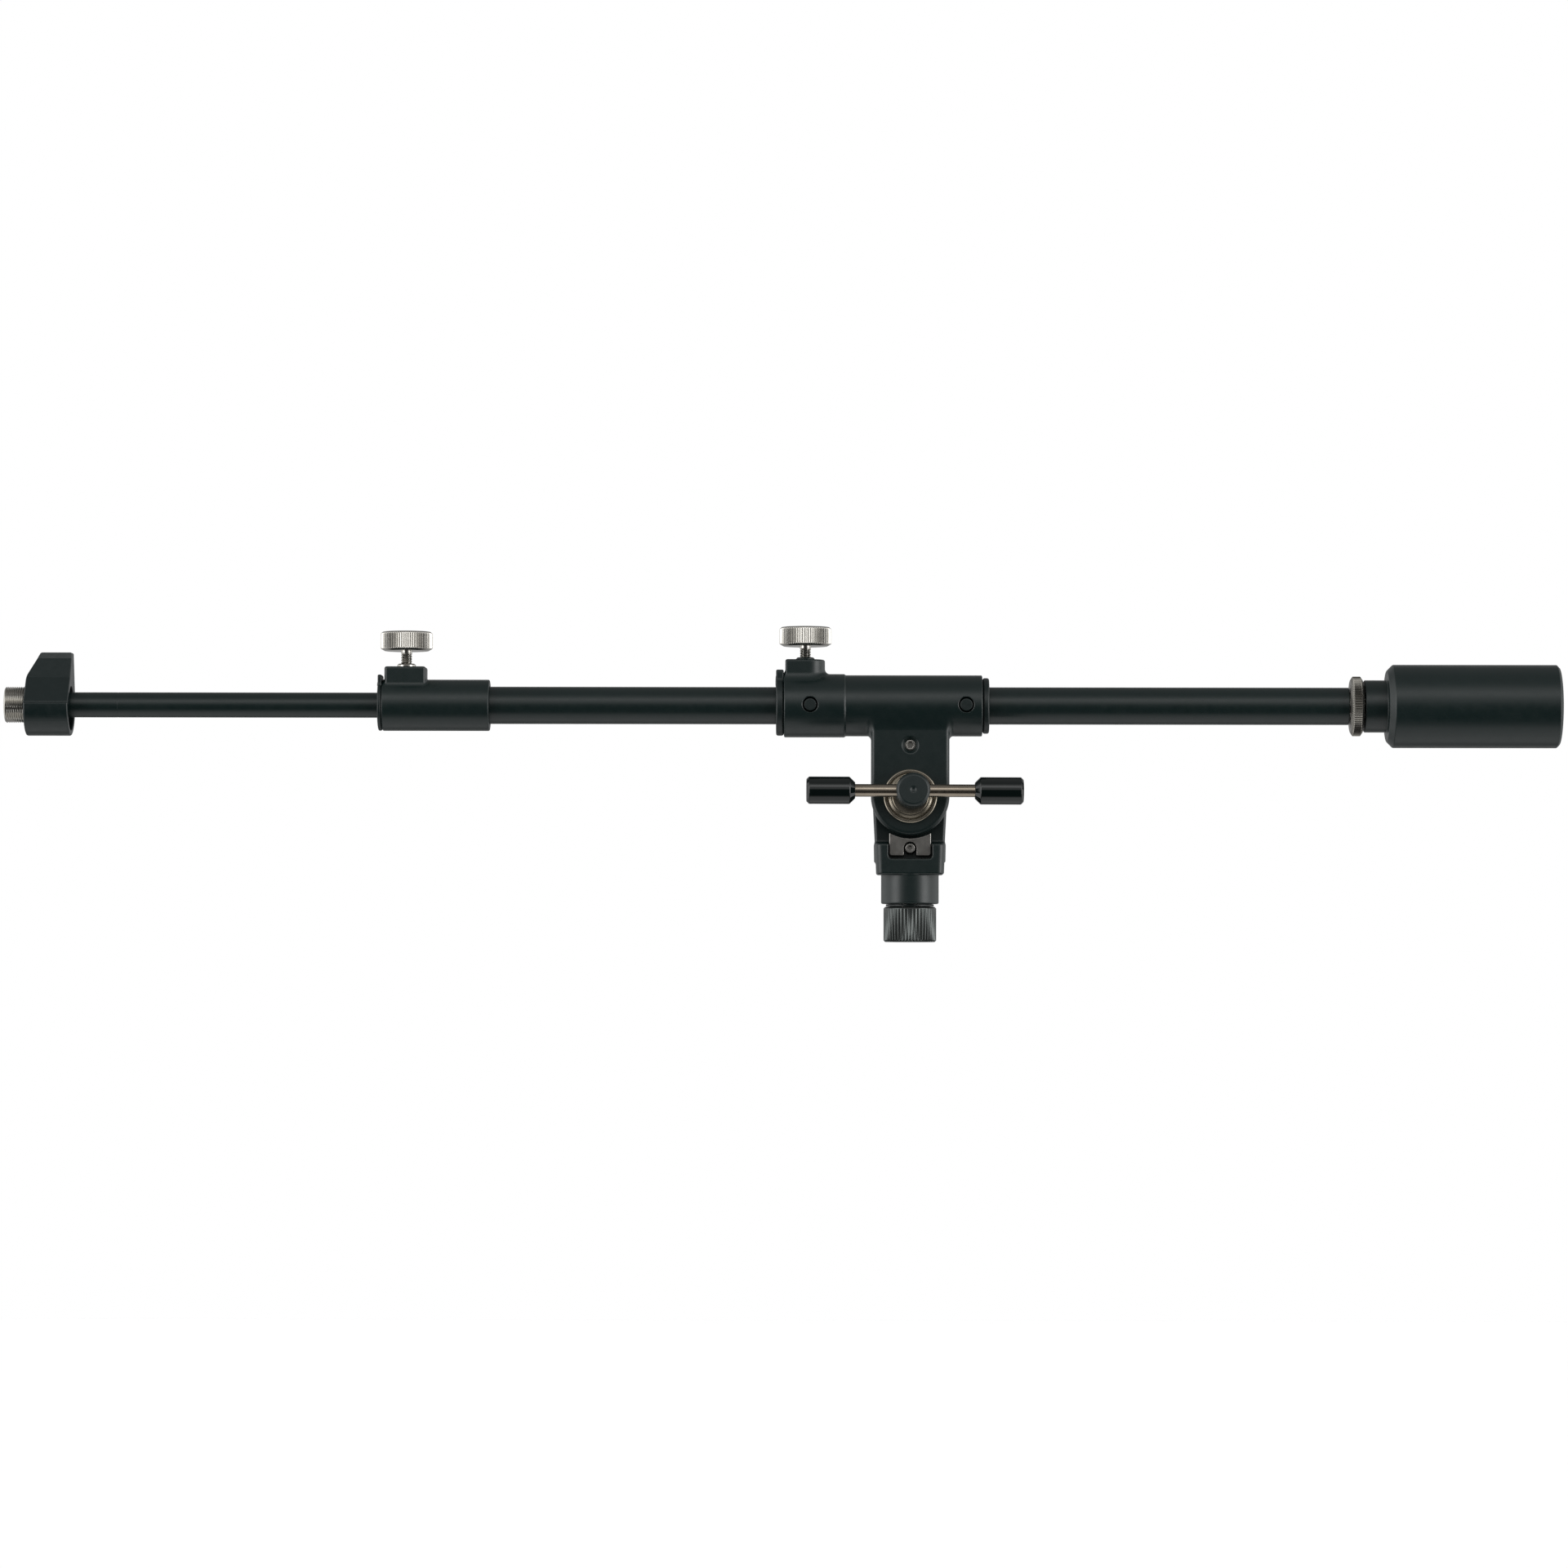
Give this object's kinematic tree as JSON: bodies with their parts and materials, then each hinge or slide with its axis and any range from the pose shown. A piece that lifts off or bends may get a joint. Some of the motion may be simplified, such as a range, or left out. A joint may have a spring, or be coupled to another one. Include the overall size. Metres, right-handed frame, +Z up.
{
  "type": "boom microphone stand",
  "caption": "Telescoping boom arm for a microphone stand: tilting clamp with T handle, thumb screws, counterweight, microphone thread and a swivel collar for the stand's thread.",
  "frame": {"origin": "centre of the stand collar's lower face, on the stand's axis", "axes": "+Z up along the stand, +X along the boom towards the counterweight, -Y towards the T handle"},
  "size_m": [0.6663, 0.048, 0.135],
  "materials": {
    "black_paint": "satin powder coat",
    "bush_plastic": "moulded nylon",
    "wing_plastic": "moulded",
    "grip_plastic": "glossy dipped",
    "head_black": "satin",
    "dark_metal": "satin dark plating",
    "bright_nickel": "nickel plate",
    "warm_nickel": "warm nickel plate",
    "black_nickel": "black nickel plate",
    "steel": "zinc plate",
    "brass": "turned",
    "fibre": "pressed fibre"
  },
  "bodies": {
    "stand_collar": {"stand_collar": "dark_metal"},
    "base": {"base_casting": "black_paint", "swivel_bolt": "steel", "swivel_washer": "bush_plastic", "stop_plate": "steel", "stop_plate_screw": "steel", "pivot_sleeve": "steel", "friction_disc": "fibre", "pivot_nut": "steel"},
    "thrust_washer": {"thrust_washer": "warm_nickel"},
    "t_bolt": {"t_bolt": "head_black"},
    "t_bar": {"t_bar": "warm_nickel", "t_bar_grip_left": "grip_plastic", "t_bar_grip_right": "grip_plastic"},
    "tilt_clamp": {"tilt_housing": "black_paint", "left_bush": "bush_plastic", "right_bush": "bush_plastic", "arm_set_screw": "steel", "boom_screw_insert": "bush_plastic"},
    "boom_pad": {"boom_screw_pad": "brass"},
    "boom_screw": {"boom_screw_stud": "bright_nickel", "boom_knob": "bright_nickel"},
    "main_tube": {"main_tube": "black_paint", "clamp_sleeve": "black_paint", "sleeve_bush": "bush_plastic", "sleeve_set_screw": "steel", "sleeve_screw_insert": "bright_nickel", "weight_plug": "steel"},
    "sleeve_pad": {"sleeve_screw_pad": "brass"},
    "sleeve_screw": {"sleeve_screw_stud": "bright_nickel", "sleeve_knob": "bright_nickel"},
    "lock_ring": {"weight_lock_ring": "black_nickel"},
    "counterweight": {"counterweight": "black_paint"},
    "guide_ring": {"guide_ring": "bush_plastic"},
    "inner_tube": {"inner_tube": "black_paint", "inner_end_plug": "bush_plastic", "mic_thread_stud": "bright_nickel"},
    "mic_wing": {"mic_lock_wing": "wing_plastic", "wing_nut_insert": "brass"}
  },
  "joints": [
    {"name": "stand_swivel", "type": "hinge", "parent": "stand_collar", "child": "base", "pos_m": [0, 0, 0.0163], "axis": [0, 0, 1], "continuous": true},
    {"name": "tilt", "type": "hinge", "parent": "base", "child": "tilt_clamp", "pos_m": [0, 0, 0.0622], "axis": [0, 1, 0], "range_deg": [-80, 80]},
    {"name": "t_bolt_travel", "type": "slide", "parent": "base", "child": "thrust_washer", "axis": [0.0274, -0.9978, 0.061], "range_m": [0, 0.001]},
    {"name": "t_bolt_turn", "type": "hinge", "parent": "thrust_washer", "child": "t_bolt", "pos_m": [0, 0.0097, 0.0622], "axis": [0.0274, -0.9978, 0.061], "range_deg": [0, 361]},
    {"name": "t_bar_slide", "type": "slide", "parent": "t_bolt", "child": "t_bar", "axis": [0.9996, 0.0273, -0.0017], "range_m": [-0.0188, 0.017]},
    {"name": "boom_pad_travel", "type": "slide", "parent": "tilt_clamp", "child": "boom_pad", "axis": [0, 0, 1], "range_m": [0, 0.00212]},
    {"name": "boom_screw_turn", "type": "hinge", "parent": "boom_pad", "child": "boom_screw", "pos_m": [-0.0449, 0, 0.1013], "axis": [0, 0, 1], "range_deg": [0, 722]},
    {"name": "boom_slide", "type": "slide", "parent": "tilt_clamp", "child": "main_tube", "axis": [1, 0, 0], "range_m": [-0.154, 0.1222]},
    {"name": "sleeve_pad_travel", "type": "slide", "parent": "main_tube", "child": "sleeve_pad", "axis": [0, 0, 1], "range_m": [0, 0.00212]},
    {"name": "sleeve_screw_turn", "type": "hinge", "parent": "sleeve_pad", "child": "sleeve_screw", "pos_m": [-0.2161, 0, 0.1013], "axis": [0, 0, 1], "range_deg": [0, 722]},
    {"name": "lock_ring_turn", "type": "hinge", "parent": "main_tube", "child": "lock_ring", "pos_m": [0.19, 0, 0.1013], "axis": [1, 0, 0], "continuous": true},
    {"name": "counterweight_turn", "type": "hinge", "parent": "main_tube", "child": "counterweight", "pos_m": [0.24, 0, 0.1013], "axis": [1, 0, 0], "continuous": true},
    {"name": "telescope_slide", "type": "slide", "parent": "main_tube", "child": "guide_ring", "axis": [1, 0, 0], "range_m": [-0.117, 0.1315]},
    {"name": "inner_tube_turn", "type": "hinge", "parent": "guide_ring", "child": "inner_tube", "pos_m": [-0.08, 0, 0.1013], "axis": [1, 0, 0], "continuous": true},
    {"name": "mic_wing_turn", "type": "hinge", "parent": "inner_tube", "child": "mic_wing", "pos_m": [-0.37, 0, 0.1013], "axis": [1, 0, 0], "continuous": true}
  ],
  "couplings": [
    {"joint": "t_bolt_turn", "follows": "t_bolt_travel", "rad_per_m": 6283.2},
    {"joint": "boom_screw_turn", "follows": "boom_pad_travel", "rad_per_m": 5938.7},
    {"joint": "sleeve_screw_turn", "follows": "sleeve_pad_travel", "rad_per_m": 5938.7}
  ]
}
